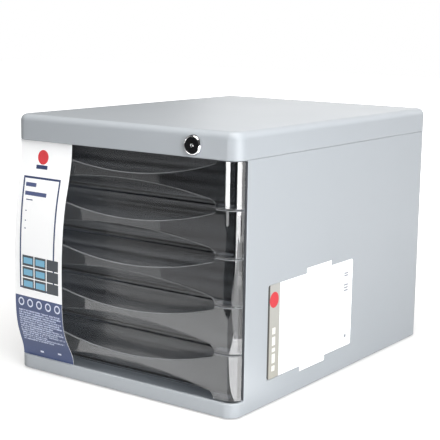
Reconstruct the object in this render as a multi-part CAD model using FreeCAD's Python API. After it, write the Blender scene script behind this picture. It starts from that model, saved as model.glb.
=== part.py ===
import FreeCAD, Part
import math
import os
from FreeCAD import Vector

# Desktop file drawer: a moulded case with a lid, five smoked drawers and a lock that holds all of them.
# Millimetres. X right, Y back, Z up. The origin is on the resting plane, under the middle of the whole.

# Case
case_width = 260.0
case_depth = 356.0
case_height = 252.0
case_wall = 2.8
front_corner_radius = 12.0
rear_corner_radius = 10.0
lip_height = 14.6            # top of the plinth lip above the resting plane
side_setback = 15.2          # front edge of the side walls, behind the lip's face
rear_flange = 16.0           # return of the side walls round the rear corners
base_edge_radius = 1.4
mouth_edge_radius = 0.9      # softened edges round the drawer opening

# Top cover
cover_height = 24.6
cover_edge_radius = 6.5
cover_rib_thickness = 1.6
cover_rib_depth = 5.0
cover_rib_shares = (-0.25, 0.25)
boss_diameter = 7.4
boss_front_inset = 62.0
boss_rear_inset = 66.0

# Feet
foot_diameter = 16.0
foot_thickness = 2.2
foot_proud = 1.2
foot_edge = 0.5
foot_inset_x = 24.0
foot_inset_y = 28.0

# Runner frames
runner_plate = 2.0
runner_front = 16.6          # front edge of a runner frame, behind the lip's face
runner_top_rise = 5.0        # height of the runner frame inside the cover's skirt
rail_reach = 8.0
rail_thickness = 1.6
rail_lift = 2.0              # top of a rail above the bottom of its drawer's bay
rail_front = 46.0
rail_gap = 0.3
stop_width = 3.2
stop_length = 4.0
stop_height = 5.0
stop_drop = 4.0              # top of the stop under the top of its bay
stop_gap = 0.3

# Drawers
drawer_count = 5
drawer_hold = 97.0           # length of a drawer that stays in the case at full travel
front_recess = 3.5           # drawer fronts behind the lip's face
front_skin = 2.2
front_side_inset = 1.5       # drawer fronts inside the case's sides
front_corner = 14.0
front_split = 1.0            # seam between two drawer fronts
front_edge_radius = 0.6
return_gap = 1.4             # seam between a drawer front and the side wall
pocket_depth = 16.5          # from the front's face to the inner wall
tray_side_gap = 4.2          # tray side to runner plate
tray_wall = 2.0
tray_floor = 2.0
tray_rear_inset = 19.0       # rear face of a tray in front of the case's rear face
tray_rim_drop = 1.4
tray_corner = 5.0
inner_wall_split = 1.9
corner_floor = 2.0
lug_length = 5.0
lug_height = 5.0
lug_reach = 1.8
lug_play = 1.0               # a locked drawer's free movement before its lug meets the catch
lug_mid_share = 0.5

# Finger opening, a lens formed by the dip of one front and the arch of the next
lens_tip_inset = 25.0        # tips of the opening inside the case's sides
dip_depth = 19.6
dip_tip_radius = 4.0
arch_rise = 16.2
arch_tip_radius = 7.4

# Back panel
panel_thickness = 2.4
panel_side_gap = 0.4
panel_rib_height = 1.6
panel_rib_width = 3.0
panel_rib_shares = (0.25, 0.5, 0.75)

# Screws
screw_shank = 2.9
screw_head = 5.6
screw_head_height = 1.1
screw_length = 11.0
screw_fit = 0.05
screw_clearance = 0.2
cross_width = 0.9
cross_length = 3.2
cross_depth = 0.6
panel_screw_length = 6.6
panel_screw_inset_z = 26.0
panel_screw_inset_x = 13.0
panel_boss_diameter = 6.0
panel_boss_length = 4.2

# Lock
lock_x = 84.0
lock_rise = 11.0             # lock axis above the cover's lower edge
bezel_diameter = 18.4
bezel_face_diameter = 16.6
bezel_proud = 4.0
barrel_diameter = 12.6
barrel_length = 18.0
barrel_fit = 0.1
plug_diameter = 10.4
plug_fit = 0.05
plug_head_diameter = 14.8
plug_head_depth = 1.8
plug_sink = 0.4
plug_tail = 5.6              # side of the square tail that carries the cam
keyhole_width = 1.6
keyhole_height = 7.2
keyhole_depth = 9.0
keyhole_collar = 3.4
nut_across_flats = 14.2
nut_thickness = 3.0
cam_thickness = 1.6
cam_radius = 10.0
cam_hub_gap = 0.3
crank_radius = 7.0
crank_pin_diameter = 3.0
crank_pin_length = 5.6
cam_screw_head = 4.6
cam_screw_head_height = 1.0
cam_screw_shank = 2.4
cam_screw_length = 6.0

# Lock bar
bar_thickness = 1.8
bar_width = 10.0
bar_front = 23.4             # front edge of the bar behind the lip's face
bar_bottom = 22.0
bar_arm_height = 9.0
bar_slot_fit = 0.35
bar_side_gap = 0.3
catch_height = 5.0
catch_length = 6.0
catch_reach = 1.8
guide_length = 10.0
guide_depth = 3.0
guide_lip = 2.2
guide_share = 0.7            # height of a guide within its bay

# Printed cards
sheet_thickness = 0.3
card_left_inset = 4.0        # left edge of the front card inside the case's side
card_width = 66.0
card_tuck_gap = 0.1
card_top_tuck = 8.0
card_bottom_tuck = 7.0
card_left_bow = 10.8
card_right_bow = 15.8
card_tab_inset = 10.0        # left edge of the tucked tabs inside the sheet's left edge
card_bow_shares = ((0.0, 0.0), (0.24, 0.55), (0.5, 0.97), (0.69, 0.98), (0.88, 0.62), (1.0, 0.0))
label_depth = 0.9
label_sheet = 0.5
label_front = 50.0           # front edge of the label recess behind the lip's face
label_length = 154.6
label_bottom = 24.4
label_height = 87.4
label_corner = 2.4
label_slit = 2.4
label_gap = 0.4
label_tab_length = 46.0
label_tab_height = 5.2
label_top_tab_start = 66.6
label_bottom_tab_start = 57.6

overrun = 1.0                # how far a cutting tool passes a face

centre = Vector(0, 0, 0)
to_right = Vector(1, 0, 0)
to_back = Vector(0, 1, 0)
to_front = Vector(0, -1, 0)
upward = Vector(0, 0, 1)

# Places that follow from the sizes above
half_width = case_width / 2
front_proud = max(card_right_bow - case_wall - card_tuck_gap, bezel_proud)
rear_proud = screw_head_height
front_face = -case_depth / 2 + (front_proud - rear_proud) / 2
rear_face = front_face + case_depth
base_bottom = foot_proud
base_top = base_bottom + case_wall
cover_bottom = case_height - cover_height
cover_inside = case_height - case_wall
wall_face = half_width - case_wall
side_front = front_face + side_setback
flange_face = rear_face - case_wall
bay_pitch = (cover_bottom - lip_height) / drawer_count
lens_end = half_width - lens_tip_inset
runner_inner = wall_face - runner_plate
tray_half_width = runner_inner - tray_side_gap
rail_inner = runner_inner - rail_reach
front_plane = front_face + front_recess
return_end = side_front - return_gap
inner_wall_face = front_plane + pocket_depth
tray_rear = rear_face - tray_rear_inset
drawer_travel = tray_rear - front_face - drawer_hold
panel_front = flange_face - panel_thickness
lock_z = cover_bottom + lock_rise
crank_drop = crank_radius * math.sin(math.pi / 4)
lock_stroke = 2 * crank_drop
barrel_end = front_face + barrel_length
cam_front = barrel_end + cam_hub_gap
cam_back = cam_front + cam_thickness
bar_inner = runner_inner - bar_side_gap - bar_thickness
bar_face = front_face + bar_front


def bay_bottom(index):
    """Lower seam of a drawer's bay; index 0 is the lowest drawer."""
    return lip_height + index * bay_pitch


def box(x0, x1, y0, y1, z0, z1):
    return Part.makeBox(x1 - x0, y1 - y0, z1 - z0, Vector(x0, y0, z0))


def both_sides(shape):
    """A shape and its mirror image across the middle plane."""
    return [shape, shape.mirror(centre, to_right)]


def rounded_block(x_half, y0, y1, z0, z1, front_radius, rear_radius):
    """A block that is symmetrical about the middle plane, with rounded upright corners."""
    body = box(-x_half, x_half, y0, y1, z0, z1)
    for radius, y in ((front_radius, y0), (rear_radius, y1)):
        if radius > 0:
            upright = [e for e in body.Edges if is_upright(e) and abs(e.Vertexes[0].Y - y) < radius / 2]
            body = body.makeFillet(radius, upright)
    return body


def is_upright(edge):
    if len(edge.Vertexes) < 2:
        return False
    a, b = edge.Vertexes[0].Point, edge.Vertexes[1].Point
    return math.hypot(a.x - b.x, a.y - b.y) < Part.Precision.confusion() * 10


def edges_at_height(shape, z):
    """Edges that lie wholly in the level plane z."""
    slack = case_wall / 100
    level = [e for e in shape.Edges if e.BoundBox.ZLength < slack]
    return [e for e in level if abs(e.BoundBox.Center.z - z) < slack]


def disc(diameter, length, x, y, z, along):
    return Part.makeCylinder(diameter / 2, length, Vector(x, y, z), along)


def fuse(parts):
    body = parts[0].multiFuse(parts[1:]) if len(parts) > 1 else parts[0]
    return body.removeSplitter()


def cut(body, tools):
    for tool in tools:
        body = body.cut(tool)
    return body


# Case

def foot_places():
    x = half_width - foot_inset_x
    return [(sx * x, y) for sx in (-1, 1) for y in (front_face + foot_inset_y, rear_face - foot_inset_y)]


def label_outline(grow, start_gap):
    """Level plates that make the outline of the side label, as boxes in the side wall's plane."""
    y0 = front_face + label_front + start_gap
    y1 = front_face + label_front + label_length
    z0, z1 = label_bottom, label_bottom + label_height
    top_tab = front_face + label_front + label_top_tab_start
    low_tab = front_face + label_front + label_bottom_tab_start
    return [
        (y0 - grow, y1 + grow, z0 - grow, z1 + grow),
        (top_tab - grow, top_tab + label_tab_length + grow, z1, z1 + label_tab_height + grow),
        (low_tab - grow, low_tab + label_tab_length + grow, z0 - label_tab_height - grow, z0),
    ]


def label_plate(x0, x1, grow, start_gap):
    """The label's outline as a plate between two planes, with rounded main corners."""
    plates = []
    for i, (y0, y1, z0, z1) in enumerate(label_outline(grow, start_gap)):
        plate = box(x0, x1, y0, y1, z0, z1)
        if i == 0:
            across = [e for e in plate.Edges if abs(e.BoundBox.XLength - (x1 - x0)) < (x1 - x0) / 10]
            plate = plate.makeFillet(label_corner, across)
        plates.append(plate)
    return fuse(plates)


def lower_case():
    outer = rounded_block(half_width, front_face, rear_face, base_bottom, cover_bottom,
                          front_corner_radius, rear_corner_radius)
    outer = outer.makeFillet(base_edge_radius, edges_at_height(outer, base_bottom))
    inner = rounded_block(wall_face, front_face + case_wall, flange_face, base_top,
                          cover_bottom + overrun, front_corner_radius - case_wall,
                          rear_corner_radius - case_wall)
    body = outer.cut(inner)
    mouth = box(-half_width - overrun, half_width + overrun, front_face - overrun, side_front,
                lip_height, cover_bottom + overrun)
    body = body.cut(mouth)
    rear_opening = box(-half_width + rear_flange, half_width - rear_flange, flange_face - overrun,
                       rear_face + overrun, base_top + rear_flange, cover_bottom + overrun)
    body = body.cut(rear_opening)
    body = body.makeFillet(mouth_edge_radius, mouth_edges(body))
    for x, y in foot_places():
        body = body.cut(disc(foot_diameter, foot_thickness, x, y, 0, upward))
    body = body.cut(label_plate(half_width - label_depth, half_width + overrun, label_gap, 0))
    return cut(body, panel_screw_holes())


def mouth_edges(body):
    """Outer edges of the lip's top and of the side walls' front edges."""
    slack = case_wall / 100
    found = []
    for e in body.Edges:
        b = e.BoundBox
        level = abs(b.ZMin - lip_height) < slack and abs(b.ZMax - lip_height) < slack
        upright = b.ZLength > (cover_bottom - lip_height) / 2 and abs(b.YMax - side_front) < slack
        outside = abs(b.XMin) > half_width - slack or abs(b.XMax) > half_width - slack
        if upright and b.YLength < slack and outside:
            found.append(e)
        elif level and b.YMax < side_front + slack and on_outer_wall(e):
            found.append(e)
    return found


def on_outer_wall(edge):
    """True when an edge of the lip's top runs along the outside of the case."""
    for p in edge.discretize(5):
        x, y = abs(p.x), p.y - front_face
        cx, cy = half_width - front_corner_radius, front_corner_radius
        if x > cx and y < cy:
            off = front_corner_radius - math.hypot(x - cx, y - cy)
        else:
            off = min(half_width - x, y)
        if off > case_wall / 4:
            return False
    return edge.Length > case_wall


def foot_pads():
    pads = []
    for x, y in foot_places():
        pad = disc(foot_diameter, foot_thickness, x, y, 0, upward)
        pad = pad.makeChamfer(foot_edge, edges_at_height(pad, 0))
        pads.append(pad)
    return Part.makeCompound(pads)


# Top cover

def boss_places():
    x = (rail_inner + runner_inner) / 2
    rows = (front_face + boss_front_inset, rear_face - boss_rear_inset)
    return [(sx * x, y) for sx in (-1, 1) for y in rows]


def flange_bottom():
    """Underside of the top rail, which also carries the cover's screws."""
    return bay_bottom(drawer_count) + rail_lift - rail_thickness


def top_cover():
    outer = rounded_block(half_width, front_face, rear_face, cover_bottom, case_height,
                          front_corner_radius, rear_corner_radius)
    outer = outer.makeFillet(cover_edge_radius, edges_at_height(outer, case_height))
    outer = outer.makeFillet(mouth_edge_radius, edges_at_height(outer, cover_bottom))
    inner = rounded_block(wall_face, front_face + case_wall, flange_face, cover_bottom - overrun,
                          cover_inside, front_corner_radius - case_wall,
                          rear_corner_radius - case_wall)
    inner = inner.makeFillet(cover_edge_radius - case_wall, edges_at_height(inner, cover_inside))
    body = outer.cut(inner)
    top_of_rail = flange_bottom() + rail_thickness
    sunk = cover_inside + case_wall / 2
    for x, y in boss_places():
        body = body.fuse(disc(boss_diameter, sunk - top_of_rail, x, y, top_of_rail, upward))
    rib_y = front_face + boss_front_inset + boss_diameter
    rib_end = rear_face - boss_rear_inset - boss_diameter
    rib_half = cover_rib_thickness / 2
    rib_low = cover_inside - cover_rib_depth
    for share in cover_rib_shares:
        x = share * case_width
        body = body.fuse(box(x - rib_half, x + rib_half, rib_y, rib_end, rib_low, sunk))
    body = body.removeSplitter()
    tap_depth = screw_length + screw_fit - rail_thickness
    for x, y in boss_places():
        body = body.cut(disc(screw_shank + 2 * screw_fit, tap_depth, x, y, top_of_rail, upward))
    lock_hole = barrel_diameter + 2 * barrel_fit
    return body.cut(disc(lock_hole, case_wall + 2 * overrun, lock_x, front_face - overrun, lock_z, to_back))


# Back panel

def panel_half_width():
    return wall_face - rear_corner_radius + case_wall - panel_side_gap


def panel_screw_places():
    x = half_width - panel_screw_inset_x
    rows = (base_top + panel_screw_inset_z, cover_bottom - panel_screw_inset_z)
    return [(sx * x, z) for sx in (-1, 1) for z in rows]


def panel_screw_holes():
    return [disc(screw_shank + 2 * screw_clearance, case_wall + 2 * overrun, x, rear_face + overrun, z,
                 to_front) for x, z in panel_screw_places()]


def back_panel():
    half = panel_half_width()
    body = box(-half, half, panel_front, flange_face, base_top, cover_bottom + runner_top_rise)
    rib_front = panel_front - panel_rib_height
    for share in panel_rib_shares:
        z = base_top + share * (cover_bottom - base_top) - panel_rib_width / 2
        body = body.fuse(box(-half, half, rib_front, panel_front, z, z + panel_rib_width))
    for x, z in panel_screw_places():
        body = body.fuse(disc(panel_boss_diameter, panel_boss_length, x, panel_front, z, to_front))
    body = body.removeSplitter()
    depth = panel_screw_length - case_wall + screw_fit
    return cut(body, [disc(screw_shank + 2 * screw_fit, depth, x, flange_face, z, to_front)
                      for x, z in panel_screw_places()])


# Screws

def cross_head_screw(head, head_height, shank, length):
    """A cross-head screw that points up, with the underside of its head at the origin."""
    body = disc(head, head_height, 0, 0, -head_height, upward)
    body = body.makeFillet(head_height / 2, edges_at_height(body, -head_height))
    body = body.fuse(disc(shank, length, 0, 0, 0, upward))
    for x, y in ((cross_width, cross_length), (cross_length, cross_width)):
        body = body.cut(box(-x / 2, x / 2, -y / 2, y / 2, -2 * head_height, cross_depth - head_height))
    return body


def placed(shape, axis, degrees, x, y, z):
    copy = shape.copy()
    copy.rotate(centre, axis, degrees)
    copy.translate(Vector(x, y, z))
    return copy


def cover_screws():
    screw = cross_head_screw(screw_head, screw_head_height, screw_shank, screw_length)
    z = flange_bottom()
    return Part.makeCompound([placed(screw, to_right, 0, x, y, z) for x, y in boss_places()])


def panel_screws():
    screw = cross_head_screw(screw_head, screw_head_height, screw_shank, panel_screw_length)
    return Part.makeCompound([placed(screw, to_right, 90, x, rear_face, z)
                              for x, z in panel_screw_places()])


# Runner frames

def stop_back():
    """Rear face of a drawer stop: the stop lug meets it at full travel."""
    return tray_rear - tray_corner - lug_length - drawer_travel - stop_gap


def runner_frame():
    """The frame on the right wall; the left one is its mirror image."""
    y0 = front_face + runner_front
    y1 = rear_face - rear_corner_radius - rail_gap
    body = [box(runner_inner, wall_face, y0, y1, base_top, cover_bottom + runner_top_rise)]
    rail_y = front_face + rail_front
    for index in range(drawer_count + 1):
        top = bay_bottom(index) + rail_lift
        body.append(box(rail_inner, runner_inner, rail_y, y1, top - rail_thickness, top))
    for index in range(drawer_count):
        top = bay_bottom(index + 1) - stop_drop
        body.append(box(runner_inner - stop_width, runner_inner, stop_back() - stop_length, stop_back(),
                        top - stop_height, top))
    body = fuse(body)
    bores = [disc(screw_shank + 2 * screw_clearance, rail_thickness + 2 * overrun, x, y,
                  flange_bottom() - overrun, upward) for x, y in boss_places() if x > 0]
    return cut(body, bores)


# Drawers

def lens_wire(height, tip_radius, middle_z, sign, y):
    """Half of the lens: a crown arc with a rounded tip at each end, closed along the seam."""
    tip_x = lens_end - tip_radius
    crown_radius = (height ** 2 + tip_x ** 2 - tip_radius ** 2) / (2 * (height - tip_radius))
    turn = math.asin(tip_x / (crown_radius - tip_radius))
    shoulder_x = crown_radius * math.sin(turn)
    shoulder_z = height - crown_radius * (1 - math.cos(turn))
    half_turn = (math.pi / 2 + turn) / 2
    mid_x = tip_x + tip_radius * math.sin(half_turn)
    mid_z = tip_radius * math.cos(half_turn)

    def at(x, z):
        return Vector(x, y, middle_z + sign * z)

    edges = [
        Part.Arc(at(-shoulder_x, shoulder_z), at(0, height), at(shoulder_x, shoulder_z)).toShape(),
        Part.Arc(at(shoulder_x, shoulder_z), at(mid_x, mid_z), at(lens_end, 0)).toShape(),
        Part.LineSegment(at(lens_end, 0), at(lens_end, -overrun)).toShape(),
        Part.LineSegment(at(lens_end, -overrun), at(-lens_end, -overrun)).toShape(),
        Part.LineSegment(at(-lens_end, -overrun), at(-lens_end, 0)).toShape(),
        Part.Arc(at(-lens_end, 0), at(-mid_x, mid_z), at(-shoulder_x, shoulder_z)).toShape(),
    ]
    return Part.Wire(edges)


def lens_cutter(height, tip_radius, middle_z, sign):
    """The lens half as a solid that passes through the front skin."""
    wire = lens_wire(height, tip_radius, middle_z, sign, front_plane - overrun)
    return Part.Face(wire).extrude(Vector(0, front_skin + 2 * overrun, 0))


def front_skin_shell(z0, z1):
    """The outer skin of a drawer front, which wraps round both corners of the case."""
    half = half_width - front_side_inset
    outer = rounded_block(half, front_plane, return_end + front_corner, z0, z1, front_corner, 0)
    inner = rounded_block(half - front_skin, front_plane + front_skin, return_end + 2 * front_corner,
                          z0 - overrun, z1 + overrun, front_corner - front_skin, 0)
    shell = outer.cut(inner)
    shell = shell.cut(box(-half_width, half_width, return_end, return_end + 2 * front_corner,
                          z0 - overrun, z1 + overrun))
    shell = shell.cut(lens_cutter(dip_depth, dip_tip_radius, z1, -1))
    shell = shell.cut(lens_cutter(arch_rise, arch_tip_radius, z0, 1))
    return shell.makeFillet(front_edge_radius, skin_outer_edges(shell, z0, z1))


def skin_outer_edges(shell, z0, z1):
    """Edges along the outer face of the skin, top, bottom and lens, but not the rear edges."""
    half = half_width - front_side_inset
    cx, cy = half - front_corner, front_plane + front_corner
    slack = front_skin / 20
    found = []
    for e in shell.Edges:
        on_face = True
        for p in e.discretize(5):
            x = abs(p.x)
            if x > cx and p.y < cy:
                off = front_corner - math.hypot(x - cx, p.y - cy)
            else:
                off = min(half - x, p.y - front_plane)
            on_face = on_face and abs(off) < slack
        if on_face and not is_upright(e) and e.BoundBox.YMin < return_end - slack:
            found.append(e)
    return found


def drawer(index):
    """One drawer, index 0 the lowest: the tray, its inner wall and the smoked skin in front of it."""
    z0, z1 = bay_bottom(index), bay_bottom(index + 1)
    low, high = z0 + front_split / 2, z1 - front_split / 2
    floor_z = z0 + rail_lift + rail_gap
    rim_z = z1 - tray_rim_drop
    web_front = return_end - front_skin
    inside = tray_half_width - tray_wall
    wall_low, wall_high = z0 + inner_wall_split / 2, z1 - inner_wall_split / 2
    web_low = low + front_edge_radius

    tray = rounded_block(tray_half_width, web_front, tray_rear, floor_z, rim_z, 0, tray_corner)
    hollow = rounded_block(inside, web_front - overrun, tray_rear - tray_wall, floor_z + tray_floor,
                           rim_z + overrun, 0, tray_corner - tray_wall)
    tray = tray.cut(hollow)
    tray = tray.cut(box(-inside, inside, web_front - overrun, inner_wall_face, z0, z1))
    parts = [front_skin_shell(low, high), tray]
    parts.append(box(-tray_half_width, tray_half_width, inner_wall_face, inner_wall_face + tray_wall,
                     wall_low, wall_high))
    mid_skin = half_width - front_side_inset - front_skin / 2
    within = rounded_block(mid_skin, front_plane + front_skin / 2, return_end + 2 * front_corner, z0, z1,
                           front_corner - front_skin / 2, 0)
    for sign in (-1, 1):
        x0, x1 = sorted((sign * inside, sign * mid_skin))
        web = box(x0, x1, web_front, return_end, web_low, high - front_edge_radius)
        parts.append(web.common(within))
        x0, x1 = sorted((sign * inside, sign * tray_half_width))
        parts.append(box(x0, x1, web_front, inner_wall_face + tray_wall, wall_low, wall_high))
        x0, x1 = sorted((sign * lens_end, sign * (inside + tray_wall / 2)))
        corner = box(x0, x1, front_plane, inner_wall_face + tray_wall / 2, web_low, web_low + corner_floor)
        parts.append(corner.common(within))
    parts += tray_lugs(z0, z1)
    return fuse(parts)


def lug_bottom(z0):
    return z0 + lug_mid_share * bay_pitch - lug_height / 2


def tray_lugs(z0, z1):
    """The locking lug at the front right and a stop lug at each rear corner."""
    y0 = bar_face + bar_width + lug_play
    lug_z = lug_bottom(z0)
    lugs = [box(tray_half_width - tray_wall / 2, tray_half_width + lug_reach, y0, y0 + lug_length,
                lug_z, lug_z + lug_height)]
    rear = tray_rear - tray_corner
    top = z1 - stop_drop
    reach = runner_inner - rail_gap
    stop = box(tray_half_width - tray_wall / 2, reach, rear - lug_length, rear, top - stop_height, top)
    return lugs + both_sides(stop)


# Lock

def lock_barrel():
    mouth = front_face - bezel_proud
    bezel = Part.makeCone(bezel_face_diameter / 2, bezel_diameter / 2, bezel_proud,
                          Vector(lock_x, mouth, lock_z), to_back)
    body = bezel.fuse(disc(barrel_diameter, barrel_length, lock_x, front_face, lock_z, to_back))
    body = body.removeSplitter()
    bore = disc(plug_diameter + 2 * plug_fit, bezel_proud + barrel_length + 2 * overrun, lock_x,
                mouth - overrun, lock_z, to_back)
    seat_depth = plug_sink + plug_head_depth + plug_fit
    seat = disc(plug_head_diameter + 2 * plug_fit, seat_depth + overrun, lock_x, mouth - overrun,
                lock_z, to_back)
    return cut(body, [bore, seat])


def lock_plug():
    face = front_face - bezel_proud + plug_sink
    body = disc(plug_diameter, barrel_end - face, lock_x, face, lock_z, to_back)
    body = body.fuse(disc(plug_head_diameter, plug_head_depth, lock_x, face, lock_z, to_back))
    body = body.removeSplitter()
    rim = [e for e in body.Edges if abs(e.BoundBox.YMax - face) < plug_sink / 10]
    body = body.makeChamfer(plug_sink, rim)
    half = plug_tail / 2
    body = body.fuse(box(lock_x - half, lock_x + half, barrel_end - overrun, cam_back,
                         lock_z - half, lock_z + half))
    body = body.removeSplitter()
    slot = box(lock_x - keyhole_width / 2, lock_x + keyhole_width / 2, face - overrun, face + keyhole_depth,
               lock_z - keyhole_height / 2, lock_z + keyhole_height / 2)
    collar = disc(keyhole_collar, overrun + plug_sink, lock_x, face - overrun, lock_z, to_back)
    tap = disc(cam_screw_shank + 2 * screw_fit, cam_screw_length + screw_fit, lock_x, cam_back, lock_z,
               to_front)
    return cut(body, [slot, collar, tap])


def lock_nut():
    reach = nut_across_flats / 2 / math.cos(math.pi / 6)
    points = []
    for i in range(7):
        turn = math.pi / 3 * i
        points.append(Vector(lock_x + reach * math.cos(turn), front_face + case_wall,
                             lock_z + reach * math.sin(turn)))
    body = Part.Face(Part.makePolygon(points)).extrude(Vector(0, nut_thickness, 0))
    return body.cut(disc(barrel_diameter + 2 * screw_fit, nut_thickness + 2 * overrun, lock_x,
                         front_face + case_wall - overrun, lock_z, to_back))


def lock_cam():
    """A disc on the plug's square tail, with a crank pin that lifts the lock bar."""
    body = disc(2 * cam_radius, cam_thickness, lock_x, cam_front, lock_z, to_back)
    flat = crank_drop * 2 - cam_radius
    body = body.cut(box(lock_x - 2 * cam_radius, lock_x - flat, cam_front - overrun, cam_back + overrun,
                        lock_z - 2 * cam_radius, lock_z + 2 * cam_radius))
    body = body.fuse(disc(2 * plug_tail - screw_fit, cam_thickness, lock_x, cam_front, lock_z, to_back))
    pin_length = cam_thickness + crank_pin_length
    body = body.fuse(disc(crank_pin_diameter, pin_length, lock_x + crank_drop, cam_front,
                          lock_z - crank_drop, to_back))
    body = body.removeSplitter()
    half = plug_tail / 2 + plug_fit
    return body.cut(box(lock_x - half, lock_x + half, cam_front - overrun, cam_back + overrun,
                        lock_z - half, lock_z + half))


def cam_screw():
    screw = cross_head_screw(cam_screw_head, cam_screw_head_height, cam_screw_shank, cam_screw_length)
    return placed(screw, to_right, 90, lock_x, cam_back, lock_z)


def lock_bar():
    """A strip beside the drawers with a catch for each lug, and an arm that reaches the cam."""
    pin_z = lock_z - crank_drop
    slot_half = crank_pin_diameter / 2 + bar_slot_fit
    top = pin_z + bar_arm_height / 2
    bar_outer = bar_inner + bar_thickness
    arm_end = lock_x + crank_drop - slot_half
    slot_end = lock_x + crank_radius + slot_half
    strip = box(bar_inner, bar_outer, bar_face, bar_face + bar_width, bar_bottom, top)
    arm = box(arm_end, bar_outer, bar_face, bar_face + bar_thickness, top - bar_arm_height, top)
    arm = arm.cut(box(arm_end - overrun, slot_end, bar_face - overrun, bar_face + bar_width,
                      pin_z - slot_half, pin_z + slot_half))
    parts = [strip, arm]
    y1 = bar_face + bar_width
    for index in range(drawer_count):
        z = lug_bottom(bay_bottom(index)) + lug_height / 2 - lock_stroke - catch_height / 2
        parts.append(box(bar_inner - catch_reach, bar_inner, y1 - catch_length, y1, z, z + catch_height))
    return fuse(parts)


def bar_guides():
    """Clips on the right runner frame that hold both edges of the lock bar."""
    guides = []
    inner = bar_inner - catch_reach + bar_side_gap
    front = bar_face - bar_side_gap
    back = bar_face + bar_width + bar_side_gap
    for index in range(drawer_count):
        low = bay_bottom(index) + guide_share * bay_pitch
        high = low + guide_length
        for edge, outward, lip in ((front, -guide_depth, guide_lip), (back, guide_depth, -guide_lip)):
            y0, y1 = sorted((edge, edge + outward))
            block = box(inner, runner_inner, y0, y1, low, high)
            y0, y1 = sorted((edge, edge + lip))
            guides.append(fuse([block, box(inner, bar_inner - bar_side_gap, y0, y1, low, high)]))
    return Part.makeCompound(guides)


# Printed cards

def card_outline(x, bow):
    """The sheet's edge in an upright plane: two curves a sheet's thickness apart."""
    tuck = front_face + case_wall + card_tuck_gap
    span = cover_bottom - lip_height

    def profile(shift):
        y = tuck + shift
        points = [Vector(x, y - bow * out, cover_bottom - down * span) for down, out in card_bow_shares]
        curve = Part.BSplineCurve()
        curve.interpolate(points, InitialTangent=Vector(0, 0, -1), FinalTangent=Vector(0, 0, -1))
        return curve

    near, far = profile(0), profile(sheet_thickness)
    return Part.Wire([near.toShape(), Part.LineSegment(near.EndPoint, far.EndPoint).toShape(),
                      far.toShape(), Part.LineSegment(far.StartPoint, near.StartPoint).toShape()])


def front_card():
    """A stiff sheet bowed out in front of the drawers, its tabs tucked behind the skirt and the lip."""
    tuck = front_face + case_wall + card_tuck_gap
    x0 = -half_width + card_left_inset
    x1 = x0 + card_width
    sheet = Part.makeLoft([card_outline(x0, card_left_bow), card_outline(x1, card_right_bow)], True, True)
    tabs = []
    heights = ((cover_bottom, cover_bottom + card_top_tuck), (lip_height - card_bottom_tuck, lip_height))
    for low, high in heights:
        tabs.append(box(x0 + card_tab_inset, x1, tuck, tuck + sheet_thickness, low, high))
    return fuse([sheet] + tabs)


def side_label():
    x0 = half_width - label_depth
    return label_plate(x0, x0 + label_sheet, 0, label_slit)


def build():
    nodes = {
        "lower_case": lower_case(),
        "top_cover": top_cover(),
        "back_panel": back_panel(),
        "foot_pads": foot_pads(),
        "runner_frame_right": runner_frame(),
        "runner_frame_left": runner_frame().mirror(centre, to_right),
        "cover_screws": cover_screws(),
        "panel_screws": panel_screws(),
        "lock_barrel": lock_barrel(),
        "lock_plug": lock_plug(),
        "lock_nut": lock_nut(),
        "lock_cam": lock_cam(),
        "cam_screw": cam_screw(),
        "lock_bar": lock_bar(),
        "bar_guides": bar_guides(),
        "front_card": front_card(),
        "side_label": side_label(),
    }
    for index in range(drawer_count):
        nodes["drawer_%d" % (drawer_count - index)] = drawer(index)
    return nodes


os.makedirs("parts", exist_ok=True)
for name, shape in build().items():
    shape.exportStep("parts/%s.step" % name)
    print("%-20s %2d solids, valid %s, %.0f mm3" % (name, len(shape.Solids), shape.isValid(), shape.Volume))
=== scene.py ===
# %% [markdown]
# # A desktop file drawer with five smoked drawers
# The CAD model is the frame of this scene: every body, wall and drawer is already in its place, in
# metres, and nothing here may leave its box. Blender adds what the solids lack: the finishes, the
# prints on the two cards and a front card cut into one band for each drawer.

# %% Load the imported frame
import math

import bpy
from mathutils import Matrix, Vector


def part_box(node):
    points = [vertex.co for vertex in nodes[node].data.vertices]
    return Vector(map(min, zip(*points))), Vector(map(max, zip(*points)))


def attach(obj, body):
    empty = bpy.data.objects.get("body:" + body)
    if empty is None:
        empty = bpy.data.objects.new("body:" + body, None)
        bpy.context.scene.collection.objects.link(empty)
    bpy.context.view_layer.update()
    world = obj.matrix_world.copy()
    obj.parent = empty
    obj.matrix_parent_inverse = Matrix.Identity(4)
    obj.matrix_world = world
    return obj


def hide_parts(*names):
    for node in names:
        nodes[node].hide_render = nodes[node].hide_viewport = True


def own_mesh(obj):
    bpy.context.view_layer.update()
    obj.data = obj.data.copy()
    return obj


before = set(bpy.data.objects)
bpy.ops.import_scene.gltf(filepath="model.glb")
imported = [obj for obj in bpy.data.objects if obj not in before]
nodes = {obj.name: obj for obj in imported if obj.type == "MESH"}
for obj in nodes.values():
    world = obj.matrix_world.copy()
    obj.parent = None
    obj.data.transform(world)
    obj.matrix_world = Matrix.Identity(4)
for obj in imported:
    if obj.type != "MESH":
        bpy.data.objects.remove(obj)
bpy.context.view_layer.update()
bpy.ops.object.select_all(action="DESELECT")

# %% [markdown]
# ## Sizes that the pieces share
# The seams between the drawers cut the front card, and the front plane of the case places the lock and
# the side card's print. They are read from the boxes of the CAD nodes, so they move along if a size does.

# %% Read the seams and planes
MM = 0.001
front_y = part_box("lower_case")[0].y
drawers = ["drawer_%d" % k for k in range(1, 6)]
HALF_SPLIT = 0.5 * MM
seams = [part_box(drawers[0])[1].z + HALF_SPLIT]
seams += [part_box(name)[0].z - HALF_SPLIT for name in drawers]
print("front plane y %.4f" % front_y)
print("seams from the top:", [round(z, 4) for z in seams])

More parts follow.
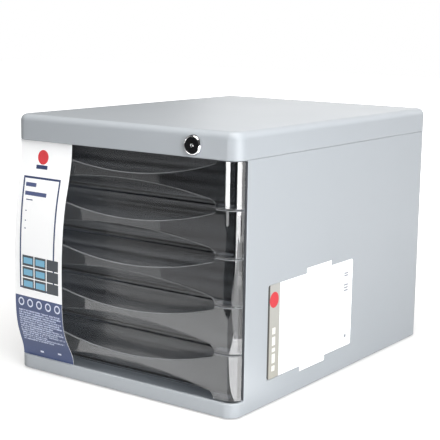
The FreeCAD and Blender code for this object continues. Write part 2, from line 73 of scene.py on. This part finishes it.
# %% [markdown]
# ## Camera
# The camera stands at the photograph's angle: about a metre and a quarter away, to the right of the
# front and a little above it, with a long lens so that upright edges stay nearly parallel. Its pose
# was worked out from the edges of the case, whose real sizes are known.

# %% Set the camera
def camera_matrix(place, yaw, pitch, roll):
    """Camera frame from its heading to the left of +Y, its tilt below the horizon and its roll."""
    forward = Vector((-math.sin(yaw) * math.cos(pitch), math.cos(yaw) * math.cos(pitch), -math.sin(pitch)))
    right = Vector((math.cos(yaw), math.sin(yaw), 0))
    up = right.cross(forward)
    across = right * math.cos(roll) + up * math.sin(roll)
    upright = up * math.cos(roll) - right * math.sin(roll)
    turned = Matrix((across, upright, -forward)).transposed().to_4x4()
    return Matrix.Translation(place) @ turned


lens = bpy.data.cameras.new("camera")
lens.sensor_width = 36
lens.lens = 94.6
lens.clip_start, lens.clip_end = 0.05, 50
camera = bpy.data.objects.new("camera", lens)
camera.matrix_world = camera_matrix(place=Vector((0.6727, -0.9598, 0.3509)), yaw=math.radians(35.43),
                                    pitch=math.radians(10.223), roll=math.radians(0.898))
bpy.context.scene.collection.objects.link(camera)
bpy.context.scene.camera = camera
print("camera at", [round(v, 4) for v in camera.location])

# %% [markdown]
# ## A small language for materials
# Materials are patterns made from arithmetic on coordinates. Written as Python expressions they stay
# readable: a wire wraps one output socket, and every operator on it adds a Math node. All other nodes
# come from one method, which sets the node's own settings first and then its sockets.

# %% Wrap the shader sockets
def find_socket(sockets, key):
    """A socket by its place, its identifier or its name."""
    if isinstance(key, int):
        return sockets[key]
    for socket in sockets:
        if socket.identifier == key:
            return socket
    return sockets[key]


class Wire:
    """An output socket of a material. Arithmetic and comparison add Math nodes."""

    def __init__(self, tree, socket=None):
        self.tree = tree
        self.socket = socket

    def node(self, kind, out=0, settings=None, values=None):
        """Add a node, give it its settings and then its socket values or links; return one output."""
        made = self.tree.nodes.new("ShaderNode" + kind)
        for name, value in (settings or {}).items():
            setattr(made, name, value)
        for key, value in (values or {}).items():
            socket = find_socket(made.inputs, key)
            if isinstance(value, Wire):
                self.tree.links.new(value.socket, socket)
            else:
                socket.default_value = value
        return Wire(self.tree, find_socket(made.outputs, out))

    def math(self, operation, *values):
        return self.node("Math", settings={"operation": operation}, values=dict(enumerate(values)))

    def __add__(self, other):
        return self.math("ADD", self, other)

    def __sub__(self, other):
        return self.math("SUBTRACT", self, other)

    def __rsub__(self, other):
        return self.math("SUBTRACT", other, self)

    def __mul__(self, other):
        return self.math("MULTIPLY", self, other)

    def __gt__(self, other):
        return self.math("GREATER_THAN", self, other)

    def __lt__(self, other):
        return self.math("LESS_THAN", self, other)

    __radd__ = __add__
    __rmul__ = __mul__


def srgb(red, green, blue):
    """A colour as a screen shows it, from 0 to 255, turned into the linear values that shaders use."""
    def linear(v):
        v = v / 255
        return v / 12.92 if v <= 0.04045 else ((v + 0.055) / 1.055) ** 2.4
    return (linear(red), linear(green), linear(blue), 1)


def new_material(name):
    """An empty material: its name, and a wire with its tree to hang nodes on."""
    material = bpy.data.materials.new(name)
    material.use_nodes = True
    material.node_tree.nodes.clear()
    return material, Wire(material.node_tree)


def finish_material(material, wire, shader):
    """Show a shader on the material's surface."""
    output = material.node_tree.nodes.new("ShaderNodeOutputMaterial")
    material.node_tree.links.new(shader.socket, output.inputs["Surface"])
    print("material", material.name, "with", len(material.node_tree.nodes), "nodes")
    return material


def mix_colour(wire, share, first, second):
    """The first colour where share is 0, the second where it is 1."""
    return wire.node("Mix", out="Result_Color", settings={"data_type": "RGBA"},
                     values={"Factor_Float": share, "A_Color": first, "B_Color": second})


def grain(wire, scale, detail=2.0, roughness=0.5):
    """Noise on Object coordinates, so that it stays on the piece; scale in features per metre."""
    place = wire.node("TexCoord", out="Object")
    return wire.node("TexNoise", out="Fac", values={"Vector": place, "Scale": scale, "Detail": detail,
                                                    "Roughness": roughness})


def bump(wire, height, strength, distance):
    """A surface that rises and falls with height by a distance in metres."""
    return wire.node("Bump", values={"Height": height, "Strength": strength, "Distance": distance})


def print_coordinates(wire):
    """The piece's own coordinates in millimetres, as three wires."""
    place = wire.node("TexCoord", out="Object")
    split = wire.node("SeparateXYZ", out="X", values={"Vector": place}).socket.node
    return [Wire(wire.tree, split.outputs[i]) * (1 / MM) for i in range(3)]


# %% [markdown]
# ## Light grey moulded plastic
# The case, its lid and the runners inside are polystyrene from a spark-eroded mould. That leaves a
# very fine even texture, so the surface is satin: broad soft highlights and no sharp reflections. Two
# layers of noise make the colour and the gloss wander a little, as on any large moulding. The front ends
# of the side walls stand behind the drawers' corners and get a painted shade in their colour, which draws
# the thin dark line of shadow in that gap.

# %% Make the moulded plastic
def moulded_plastic(name, colour, shade, gloss, texture, painted_shade_rear):
    """Satin plastic. Between lip and fascia, in front of painted_shade_rear in mm along Y, it has a painted
    shade.
    """
    material, wire = new_material(name)
    patches = grain(wire, scale=9, detail=3)
    fine = grain(wire, scale=texture, detail=2, roughness=0.6)
    _, y, z = print_coordinates(wire)
    # painted shade on the front ends of the side walls, standing in for the shadow in the gap behind the
    # drawers' corners
    painted_gap_shade = (y < painted_shade_rear) * (z > LIP_TOP) * (z < FASCIA_LOW)
    tint = mix_colour(wire, painted_gap_shade, mix_colour(wire, patches, colour, shade), PAINTED_GAP_SHADE_COLOUR)
    rough = gloss + patches * 0.07 + fine * 0.05
    shader = wire.node("BsdfPrincipled", values={
        "Base Color": tint, "Roughness": rough, "IOR": 1.5,
        "Normal": bump(wire, fine, strength=0.12, distance=0.00006)})
    return finish_material(material, wire, shader)


LIP_TOP, FASCIA_LOW = 15.5, 226.5   # mm up; only the ends of the walls stand forward between the two
WALL_END = 15.4                     # mm from the front plane to just behind these ends
# the colour of that painted shade in the gap
PAINTED_GAP_SHADE_COLOUR = srgb(66, 68, 72)
front_mm = front_y / MM
case_plastic = moulded_plastic("light_grey_case", colour=srgb(167, 171, 176), shade=srgb(163, 168, 173),
                               gloss=0.36, texture=2600, painted_shade_rear=front_mm + WALL_END)
runner_plastic = moulded_plastic("light_grey_runner", colour=srgb(170, 174, 179), shade=srgb(165, 169, 174),
                                 gloss=0.42, texture=1800, painted_shade_rear=front_mm)

# %% [markdown]
# ## Smoked polystyrene
# The drawers are clear plastic with a grey dye, polished in the mould. Real glass shading gives the
# mirrored room and the lines along every bent edge. Lamps pass through a glass shader only as caustics,
# which would leave the inside noisy and black, so for shadow rays a tinted Transparent takes its place.
# The outer skin has a clear coat. The inner wall behind the finger opening is drawn out instead of
# polished: it is rougher, with long level flow lines and a faint haze that comes and goes with them.
# Light that runs inside the clear skin comes out at its edges. That glow is painted: the edges get a share
# of a pale matte shader, which draws the thin bright outline of each finger opening. The same shader
# gives the inner wall its faint haze.

# %% Make the smoked plastic
def stretched_noise(wire, features):
    """Noise on Object coordinates with its own number of features per metre along each axis."""
    place = wire.node("TexCoord", out="Object")
    stretched = wire.node("Mapping", out="Vector", values={"Vector": place, "Scale": features})
    return wire.node("TexNoise", out="Fac", values={"Vector": stretched, "Scale": 1.0, "Detail": 1.0})


def smoked_plastic(name, tint, shadow_tint, glow_and_haze_colour, wall_front, wall_rear):
    """Dyed clear plastic: polished in front of wall_front, drawn out up to wall_rear, in mm along Y."""
    material, wire = new_material(name)
    _, y, _ = print_coordinates(wire)
    skin = y < wall_front
    wall = (y > wall_front) * (y < wall_rear)
    flow = grain(wire, scale=16, detail=2)
    streaks = stretched_noise(wire, (2.0, 2.0, 240.0))
    ripple = {"strength": 0.25, "distance": 0.0006}
    polished = wire.node("BsdfPrincipled", values={
        "Base Color": tint, "Roughness": 0.02, "IOR": 1.56, "Transmission Weight": 1.0,
        "Coat Weight": 0.7 * skin, "Coat Roughness": 0.01, "Coat IOR": 1.5,
        "Normal": bump(wire, flow, **ripple)})
    drawn = wire.node("BsdfPrincipled", values={
        "Base Color": tint, "Roughness": 0.16 + streaks * 0.10, "IOR": 1.45, "Transmission Weight": 1.0,
        "Normal": bump(wire, flow + streaks * 1.2, **ripple)})
    # a pale matte shader: on the skin's edges it paints the glow of light that leaves them, on the inner
    # wall it is the haze
    glow_and_haze = wire.node("BsdfPrincipled", values={
        "Base Color": glow_and_haze_colour, "Roughness": 0.3, "IOR": 1.56,
        "Normal": bump(wire, flow, **ripple)})
    upward = wire.node("SeparateXYZ", out="Z", values={"Vector": wire.node("NewGeometry", out="Normal")})
    edge = skin * (upward.math("ABSOLUTE", upward) > LEVEL_FACE)
    clear_body = wire.node("MixShader", values={0: wall, 1: polished, 2: drawn})
    haze = wall * (streaks * 0.18 - 0.05)
    body = wire.node("MixShader", values={0: edge * EDGE_GLOW_SHARE + haze, 1: clear_body, 2: glow_and_haze})
    clear = wire.node("BsdfTransparent", values={"Color": shadow_tint})
    lamp_ray = wire.node("LightPath", out="Is Shadow Ray")
    shader = wire.node("MixShader", values={0: lamp_ray, 1: body, 2: clear})
    return finish_material(material, wire, shader)


LEVEL_FACE = 0.3    # a face whose normal rises or falls by more than this counts as an edge
EDGE_GLOW_SHARE = 0.32   # share of the pale shader there: a painted glow of the light that leaves the edges
WALL_FRONT, WALL_REAR = 11.5, 19.2   # mm from the drawer's front to just outside its inner wall
drawer_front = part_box(drawers[0])[0].y / MM
smoke = smoked_plastic("smoked_drawer", tint=(0.47, 0.48, 0.50, 1), shadow_tint=(0.70, 0.71, 0.72, 1),
                       glow_and_haze_colour=(0.52, 0.53, 0.55, 1),
                       wall_front=drawer_front + WALL_FRONT, wall_rear=drawer_front + WALL_REAR)

# %% [markdown]
# ## Metal and rubber
# The lock's bezel is bright chrome and its plug a dark plated casting. The screws, the nut, the cam and
# the bar are zinc plated steel, which looks slightly cloudy. The feet are soft black rubber.

# %% Make the metals and the rubber
def metal(name, colour, shade, gloss, cloud, metallic=1.0):
    """Metal whose colour and gloss wander between two values; cloud in features per metre."""
    material, wire = new_material(name)
    clouds = grain(wire, scale=cloud, detail=3)
    fine = grain(wire, scale=3000, detail=2)
    shader = wire.node("BsdfPrincipled", values={
        "Base Color": mix_colour(wire, clouds, colour, shade), "Metallic": metallic,
        "Roughness": gloss + clouds * 0.1, "Normal": bump(wire, fine, strength=0.06, distance=0.00003)})
    return finish_material(material, wire, shader)


chrome = metal("bright_chrome", colour=(0.86, 0.86, 0.87, 1), shade=(0.80, 0.80, 0.82, 1),
               gloss=0.05, cloud=120)
plug_metal = metal("dark_plated_plug", colour=(0.03, 0.03, 0.034, 1), shade=(0.05, 0.05, 0.054, 1),
                   gloss=0.12, cloud=300, metallic=0.85)
zinc = metal("zinc_plated_steel", colour=(0.60, 0.61, 0.62, 1), shade=(0.48, 0.50, 0.50, 1),
             gloss=0.28, cloud=160)


def rubber(name, colour, shade):
    """Soft matte rubber with fine specks."""
    material, wire = new_material(name)
    speck = grain(wire, scale=900, detail=4, roughness=0.7)
    shader = wire.node("BsdfPrincipled", values={
        "Base Color": mix_colour(wire, speck, colour, shade), "Roughness": 0.78 + speck * 0.15,
        "Normal": bump(wire, speck, strength=0.3, distance=0.0001)})
    return finish_material(material, wire, shader)


foot_rubber = rubber("black_rubber", colour=(0.022, 0.022, 0.022, 1), shade=(0.05, 0.05, 0.05, 1))

# %% [markdown]
# ## Printed board
# Both cards are white coated board. The print is a set of rectangles, bars and rings, each a mask made
# from the piece's own coordinates in millimetres. White board holds a brightener that turns ultraviolet
# light into visible light; here that brightness is a painted glow, a trace of emission in the board's
# own colour.

# %% Make helpers for printed shapes
def block(u, v, low_u, high_u, low_v, high_v):
    """1 inside a rectangle of the print, 0 outside."""
    return (u > low_u) * (u < high_u) * (v > low_v) * (v < high_v)


def ring(u, v, centre_u, centre_v, outer, inner=0.0):
    """1 on a ring of the print, or on a disc when inner is 0."""
    away_u, away_v = u - centre_u, v - centre_v
    squared = away_u * away_u + away_v * away_v
    return (squared < outer ** 2) * (squared > inner ** 2 - 1e-6)


def frame_line(u, v, low_u, high_u, low_v, high_v, width):
    """1 on the border of a rectangle, 0 inside and outside."""
    inner = block(u, v, low_u + width, high_u - width, low_v + width, high_v - width)
    return block(u, v, low_u, high_u, low_v, high_v) - inner


def bars(u, v, left, height, sizes):
    """Level bars with a common left end; sizes lists the length and the lower edge of each."""
    return any_of([block(u, v, left, left + length, low, low + height) for length, low in sizes])


def grid(u, v, corner, size, pitch, columns, rows):
    """Equal rectangles in columns and rows, counted from the lower left one."""
    return any_of([block(u, v, corner[0] + pitch[0] * column, corner[0] + size[0] + pitch[0] * column,
                         corner[1] + pitch[1] * row, corner[1] + size[1] + pitch[1] * row)
                   for row in range(rows) for column in range(columns)])


def any_of(masks):
    """The union of print shapes that don't overlap, added up."""
    total = masks[0]
    for mask in masks[1:]:
        total = total + mask
    return total


def board(wire, colour, gloss, glow_through=0.0):
    """Coated board under a print: faint fibres, a low sheen, some light that passes through and a painted
    glow.
    """
    fibres = grain(wire, scale=1400, detail=4, roughness=0.65)
    return wire.node("BsdfPrincipled", values={
        "Base Color": colour, "Roughness": gloss + fibres * 0.12, "IOR": 1.45,
        "Subsurface Weight": glow_through, "Subsurface Radius": (0.4, 0.4, 0.4), "Subsurface Scale": 0.001,
        # painted glow: a trace of emission in the board's own colour
        "Emission Color": colour, "Emission Strength": 0.06,
        "Normal": bump(wire, fibres, strength=0.10, distance=0.00004)})


WHITE = srgb(253, 253, 254)
NAVY = srgb(56, 68, 104)
PALE_INK = srgb(184, 193, 216)
PALEST_INK = srgb(214, 219, 234)

# %% [markdown]
# ## The tall front card
# It has a white upper part with a thin navy frame and a solid navy foot. Its print is placed in
# millimetres across from the middle of the case and up from the table. The rows of dashes in the foot
# are stretched noise, cut off at a level.

# %% Make the front card's print
def front_print():
    material, wire = new_material("front_card_print")
    x, _, z = print_coordinates(wire)
    facing = wire.node("SeparateXYZ", out="Y", values={"Vector": wire.node("NewGeometry", out="Normal")})
    face = facing < -0.2   # only the side that looks forward is printed
    outline = frame_line(x, z, -119.0, -70.0, 84.5, 193.3, 2.0)
    tab = block(x, z, -104.0, -89.4, 200.9, 204.7)
    heading = bars(x, z, -115.2, 3.8, ((14.0, 183.6), (29.0, 175.2)))
    words = bars(x, z, -113.0, 1.0, ((9.0, 170.6), (2.0, 160.0), (2.0, 150.5), (2.0, 143.0)))
    tiles = grid(x, z, (-115.0, 84.2), (16.0, 10.4), (17.2, 11.4), columns=3, rows=3)
    pale_tiles = grid(x, z, (-113.4, 86.4), (12.8, 6.0), (17.2, 11.4), columns=2, rows=3)
    dot = ring(x, z, -95.9, 212.2, 6.9)
    foot = z < 76.8
    rings = any_of([ring(x, z, -117.6 + 12.7 * i, 70.6, 4.1, 2.7) for i in range(5)])
    letters = stretched_noise(wire, (1100.0, 1.0, 430.0)) > 0.44
    row_lengths = (58, 59, 52, 59, 56, 59, 46, 58, 59, 50, 59, 34, 57, 41)
    rows = bars(x, z, -121.5, 1.5, [(length, 61.5 - 2.35 * i) for i, length in enumerate(row_lengths)])
    feet = any_of([block(x, z, -102.8, -98.4, 19.2, 21.0), block(x, z, -79.2, -74.8, 20.9, 22.7)])
    colour = mix_colour(wire, any_of([outline, tab, words]), WHITE, NAVY)
    colour = mix_colour(wire, heading, colour, srgb(84, 93, 130))
    colour = mix_colour(wire, tiles, colour, srgb(66, 71, 77))
    colour = mix_colour(wire, pale_tiles, colour, srgb(120, 176, 204))
    colour = mix_colour(wire, dot, colour, srgb(214, 66, 72))
    colour = mix_colour(wire, foot, colour, srgb(66, 79, 117))
    colour = mix_colour(wire, rings, colour, PALEST_INK)
    colour = mix_colour(wire, rows * letters, colour, PALE_INK)
    colour = mix_colour(wire, feet, colour, PALEST_INK)
    colour = mix_colour(wire, face, srgb(236, 236, 235), colour)
    return finish_material(material, wire, board(wire, colour, gloss=0.34, glow_through=0.25))


front_card_print = front_print()

# %% [markdown]
# ## The side card
# It lies in a shallow recess of the right wall. Its front end is a silver strip, and along its front edge a
# dark band is the painted shadow of the recess's edge; the rest is white with a few small marks at the far
# edge. The print is placed in millimetres back from the front plane of the case and up from the table.

# %% Make the side card's print
def side_print():
    material, wire = new_material("side_card_print")
    _, y, z = print_coordinates(wire)
    along = y - front_mm
    strip = along < 71.0
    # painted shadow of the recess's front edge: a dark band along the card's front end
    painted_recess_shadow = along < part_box("side_label")[0].y / MM - front_mm + 2.1
    fade = 0.5 + (z - 68) * (1 / 160)
    dot = ring(along, z, 61.6, 97.4, 7.3)
    upright = any_of([block(along, z, 59.4, 64.6, low, low + length) for low, length in
                      ((31.0, 5.0), (38.5, 8.5), (49.0, 3.6), (55.0, 8.0), (65.5, 6.0))])
    marks = bars(along, z, 188.0, 1.6, [(8.0, low) for low in (98.4, 96.0, 86.6, 83.8, 81.0)])
    marks = marks + block(along, z, 191.0, 195.0, 33.4, 36.4)
    silver = mix_colour(wire, fade, srgb(158, 154, 142), srgb(170, 170, 168))
    colour = mix_colour(wire, strip, srgb(250, 251, 252), silver)
    # the colour of that painted shadow
    colour = mix_colour(wire, painted_recess_shadow, colour, srgb(60, 58, 52))
    colour = mix_colour(wire, dot, colour, srgb(196, 48, 56))
    colour = mix_colour(wire, upright, colour, srgb(222, 221, 215))
    colour = mix_colour(wire, marks, colour, srgb(140, 143, 150))
    return finish_material(material, wire, board(wire, colour, gloss=0.36))


side_card_print = side_print()

# %% [markdown]
# ## Dress the CAD nodes
# The shapes of the CAD nodes are right, so they stay and only their material slots change. Their
# tessellated curves come from model.glb already shaded smooth up to an angle.

# %% Give each node its finish
finishes = {
    "lower_case": case_plastic, "top_cover": case_plastic, "back_panel": case_plastic,
    "runner_frame_left": runner_plastic, "runner_frame_right": runner_plastic,
    "bar_guides": runner_plastic, "foot_pads": foot_rubber, "cover_screws": zinc,
    "panel_screws": zinc, "lock_barrel": chrome, "lock_plug": plug_metal, "lock_nut": zinc,
    "lock_cam": zinc, "cam_screw": zinc, "lock_bar": zinc, "side_label": side_card_print,
    "front_card": front_card_print,
}
finishes.update({name: smoke for name in drawers})
for name, material in finishes.items():
    nodes[name].data.materials.clear()
    nodes[name].data.materials.append(material)
print("finishes on", len(finishes), "of", len(nodes), "nodes")

# %% [markdown]
# ## The lock's bezel and its keyhole ring
# The bezel is a chrome ring with a domed section, and it is the dome that makes the bright crescent: it
# gathers reflections from all round. A lathe makes such a part, and so does spin here. Its section is
# traced point by point as distance from the axis and depth, closed, and spun once round the lock's axis.
# The same helper turns the little ring that lines the keyhole.

# %% Turn the rings of the lock
def turned(name, section, axis_x, axis_z, steps):
    """A ring spun round a line along Y. The section is a closed list of (radius, y)."""
    bpy.ops.object.select_all(action="DESELECT")
    bpy.ops.mesh.primitive_plane_add(size=MM, location=(0, 0, 0))
    ring_object = bpy.context.object
    ring_object.name = name
    radius, depth = section[0]
    bpy.ops.object.mode_set(mode="EDIT")
    bpy.ops.mesh.merge(type="CENTER")
    bpy.ops.transform.translate(value=(axis_x + radius, depth, axis_z))
    for next_radius, next_depth in section[1:] + section[:1]:
        bpy.ops.mesh.extrude_vertices_move(
            TRANSFORM_OT_translate={"value": (next_radius - radius, next_depth - depth, 0)})
        radius, depth = next_radius, next_depth
    bpy.ops.mesh.select_all(action="SELECT")
    bpy.ops.mesh.remove_doubles(threshold=1e-6)
    bpy.ops.mesh.select_all(action="SELECT")
    bpy.ops.mesh.spin(steps=steps, angle=2 * math.pi, center=(axis_x, 0, axis_z), axis=(0, 1, 0))
    bpy.ops.mesh.select_all(action="SELECT")
    bpy.ops.mesh.remove_doubles(threshold=1e-6)
    bpy.ops.mesh.normals_make_consistent(inside=False)
    bpy.ops.object.mode_set(mode="OBJECT")
    bpy.ops.object.shade_smooth_by_angle(angle=math.radians(35))
    print(name, "has", len(ring_object.data.vertices), "vertices,", len(ring_object.data.polygons), "faces")
    return ring_object


barrel_low, barrel_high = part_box("lock_barrel")
plug_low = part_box("lock_plug")[0]
lock_x, lock_z = (barrel_low.x + barrel_high.x) / 2, (barrel_low.z + barrel_high.z) / 2
outer, mouth = (barrel_high.x - barrel_low.x) / 2, barrel_low.y
pocket, bore, thread = 7.45 * MM, 5.25 * MM, 6.3 * MM   # radii: round the plug's head, its stem, outside
pocket_floor = mouth + 2.25 * MM
bevel = 0.15 * MM
dome = [(pocket + bevel + (outer - pocket - bevel) * math.cos(math.radians(turn)),
         front_y + (mouth - front_y) * math.sin(math.radians(turn))) for turn in range(90, -1, -10)]
section = [(pocket, mouth + bevel)] + dome + [
    (thread, front_y), (thread, barrel_high.y), (bore, barrel_high.y), (bore, pocket_floor),
    (pocket, pocket_floor)]
bezel = turned("lock_bezel", section, lock_x, lock_z, steps=96)
bezel.data.materials.append(chrome)
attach(bezel, "case")
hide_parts("lock_barrel")

collar_mm = ((1.0, 0.35), (1.05, 0.08), (1.25, 0.0), (1.4, 0.0), (1.6, 0.08), (1.65, 0.35))
collar_section = [(radius * MM, plug_low.y + depth * MM) for radius, depth in collar_mm]
collar = turned("keyhole_ring", collar_section, lock_x, lock_z, steps=48)
collar.data.materials.append(chrome)
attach(collar, "lock_cylinder")

# %% [markdown]
# ## The front card in five bands
# The card stands in front of all five drawers and is pulled out before one opens. A model can't pull
# it out, so the sheet is cut at the seams into one band for each drawer. The bands meet edge to edge
# and look like one sheet. Every band is a copy of the CAD card that is merged, bisected twice and
# closed at the cuts.

# %% Cut the card into bands
def card_band(name, low, high):
    """The part of the front card between two heights, as its own closed sheet."""
    band = bpy.data.objects.new(name, nodes["front_card"].data.copy())
    bpy.context.scene.collection.objects.link(band)
    bpy.ops.object.select_all(action="DESELECT")
    band.select_set(True)
    bpy.context.view_layer.objects.active = band
    bpy.ops.object.mode_set(mode="EDIT")
    bpy.ops.mesh.select_all(action="SELECT")
    bpy.ops.mesh.remove_doubles(threshold=1e-6)
    bpy.ops.mesh.bisect(plane_co=(0, 0, low), plane_no=(0, 0, 1), use_fill=True, clear_inner=True)
    bpy.ops.mesh.select_all(action="SELECT")
    bpy.ops.mesh.bisect(plane_co=(0, 0, high), plane_no=(0, 0, 1), use_fill=True, clear_outer=True)
    bpy.ops.object.mode_set(mode="OBJECT")
    bpy.ops.object.shade_smooth_by_angle(angle=math.radians(30))
    return band


card_low, card_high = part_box("front_card")
cuts = [card_high.z + MM] + seams[1:5] + [card_low.z - MM]
for i, drawer in enumerate(drawers):
    band = card_band("front_card_%d" % (i + 1), cuts[i + 1], cuts[i])
    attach(band, "case")
    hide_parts("front_card")
    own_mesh(band)
    print(band.name, len(band.data.polygons), "faces, z", round(cuts[i + 1], 4), "to", round(cuts[i], 4))

# %% [markdown]
# ## Table
# The table ends a third of a metre in front of the case and three quarters of a metre to its right. Its
# end matters: in the polished fronts the camera sees, mirrored, what stands beyond the table's edge, and
# the dark room there keeps the upper fronts black. The table is mid grey, so that it throws little light
# up at the lip and the walls, and glows for the camera, so that it is seen as white as the room.

# %% Lay the table
TABLE_LENGTH, TABLE_DEPTH = 5.9, 5.5
TABLE_MIDDLE = (-2.05, 2.25, -0.00002)
GLOW_REACH = 900.0   # mm from the middle of the case to where the glow is full


def pale_table():
    """A grey table that glows for the camera, and behind the case also in mirror reflections."""
    material, wire = new_material("pale_table")
    dust = grain(wire, scale=3, detail=2)
    x, y, _ = print_coordinates(wire)
    seen = wire.node("LightPath", out="Is Camera Ray")
    away = (x * x + y * y) * (1 / GLOW_REACH ** 2)
    shown = seen.math("MAXIMUM", seen, y > 0)
    glow = 0.9 * away.math("MINIMUM", away, 1.0) * shown + 0.42 * seen
    shader = wire.node("BsdfPrincipled", values={
        "Base Color": mix_colour(wire, dust, (0.47, 0.47, 0.47, 1), (0.50, 0.50, 0.50, 1)),
        "Roughness": 0.7, "Emission Color": glow, "Emission Strength": 1.0})
    return finish_material(material, wire, shader)


bpy.ops.mesh.primitive_plane_add(size=1, location=(0, 0, 0))
table = bpy.context.object
table.name = "table"
bpy.ops.object.mode_set(mode="EDIT")
bpy.ops.transform.resize(value=(TABLE_LENGTH, TABLE_DEPTH, 1))
bpy.ops.transform.translate(value=TABLE_MIDDLE)
bpy.ops.object.mode_set(mode="OBJECT")
table.data.materials.append(pale_table())
print("table spans", [tuple(round(c, 2) for c in v.co) for v in table.data.vertices])

# %% [markdown]
# ## Softboxes
# Every lamp is a rectangle that the camera can't see. A large one at the right and one overhead light
# the case. The others light nothing and are only there to be mirrored, like the strips and panels that
# a photographer sets round polished plastic. A small strip close to the front and a long one at the
# right make the two white uprights on the drawers' rounded corner. Panels that lie face up on the table
# or below its edge lift the lower fronts, and a wide one behind the case gives the lid its sheen.

# %% Hang the softboxes
def softbox(name, place, target, width, height, radiance, colour=(1, 1, 1), lights=True, mirrored=True):
    """A rectangular lamp that faces a target, or up. It can light matte surfaces, be mirrored, or both."""
    lamp = bpy.data.lights.new(name, "AREA")
    lamp.shape = "RECTANGLE"
    lamp.size, lamp.size_y = width, height
    lamp.energy = radiance * width * height * math.pi
    lamp.color = colour
    holder = bpy.data.objects.new(name, lamp)
    holder.location = place
    aim = Vector(target) - Vector(place) if target else Vector((0, 0, 1))
    holder.rotation_euler = aim.to_track_quat("-Z", "Y").to_euler()
    holder.visible_camera = False
    holder.visible_diffuse = lights
    holder.visible_glossy = mirrored
    bpy.context.scene.collection.objects.link(holder)
    print(name, "gives", round(lamp.energy, 1), "W")


SIDE_PLACE, SIDE_TARGET, SIDE_TINT = (1.20, -0.75, 0.60), (0.13, 0.0, 0.12), (0.97, 0.99, 1.0)
softbox("side_softbox", SIDE_PLACE, SIDE_TARGET, 1.0, 1.0, 7.9, SIDE_TINT, mirrored=False)
softbox("side_sheen", SIDE_PLACE, SIDE_TARGET, 1.0, 1.0, 2.6, SIDE_TINT, lights=False)
softbox("top_softbox", (0.2, -0.38, 1.9), (0.0, 0.0, 0.2), 1.6, 1.6, 4.5, (1.0, 0.985, 0.955))

FACE_UP = None
MIRRORED_LAMPS = (   # name, place, target, width, height, radiance
    ("front_strip", (0.018, -0.67, 0.135), (0.125, -0.17, 0.135), 0.245, 0.075, 10.5),
    ("front_soft_strip", (0.018, -0.67, 0.087), (0.125, -0.17, 0.087), 0.16, 0.022, 3.0),
    ("side_strip", (1.45, -0.56, 0.01), (0.13, -0.20, 0.01), 0.88, 0.15, 10.5),
    ("side_soft_strip", (1.45, -0.66, -0.145), (0.13, -0.20, -0.145), 0.80, 0.16, 7.0),
    ("side_dim_panel", (1.45, 0.24, -0.06), (0.13, -0.12, -0.06), 0.72, 0.30, 2.5),
    ("corner_panel", (0.425, -0.205, 0.003), FACE_UP, 0.53, 0.28, 4.5),
    ("corner_dim_panel", (0.63, -0.30, 0.003), FACE_UP, 0.64, 0.50, 1.3),
    ("low_panel", (-0.30, -0.34, 0.003), FACE_UP, 0.86, 0.32, 0.85),
    ("left_panel", (-1.19, -1.4345, -0.14), (-0.06, -0.17, 0.10), 0.36, 0.36, 0.35),
    ("mid_panel", (-0.60, -0.80, -0.01), FACE_UP, 0.90, 0.50, 0.4),
    ("rear_panel", (-0.2, 2.6, 0.75), (0.0, 0.0, 0.25), 3.4, 1.1, 2.0),
)
for lamp_row in MIRRORED_LAMPS:
    softbox(*lamp_row, lights=False)

# %% [markdown]
# ## Room
# The room beyond is white where the camera looks straight at it, a dim grey as fill light, and nearly
# dark in mirror reflections, which is how a studio with black flags round a white set behaves.

# %% Paint the room
world = bpy.data.worlds.new("room")
world.use_nodes = True
world.node_tree.nodes.clear()
bpy.context.scene.world = world
room = Wire(world.node_tree)
seen = room.node("LightPath", out="Is Camera Ray")
mirrored = room.node("LightPath", out="Is Glossy Ray")
FILL_LEVEL, MIRROR_LEVEL = 0.28, 0.06
level = seen + (1 - seen) * (FILL_LEVEL - mirrored * (FILL_LEVEL - MIRROR_LEVEL))
background = room.node("Background", values={"Color": level, "Strength": 1.0})
room_output = world.node_tree.nodes.new("ShaderNodeOutputWorld")
world.node_tree.links.new(background.socket, room_output.inputs["Surface"])
bpy.context.scene.view_settings.view_transform = "Standard"
bpy.context.scene.view_settings.look = "None"
print("room painted")
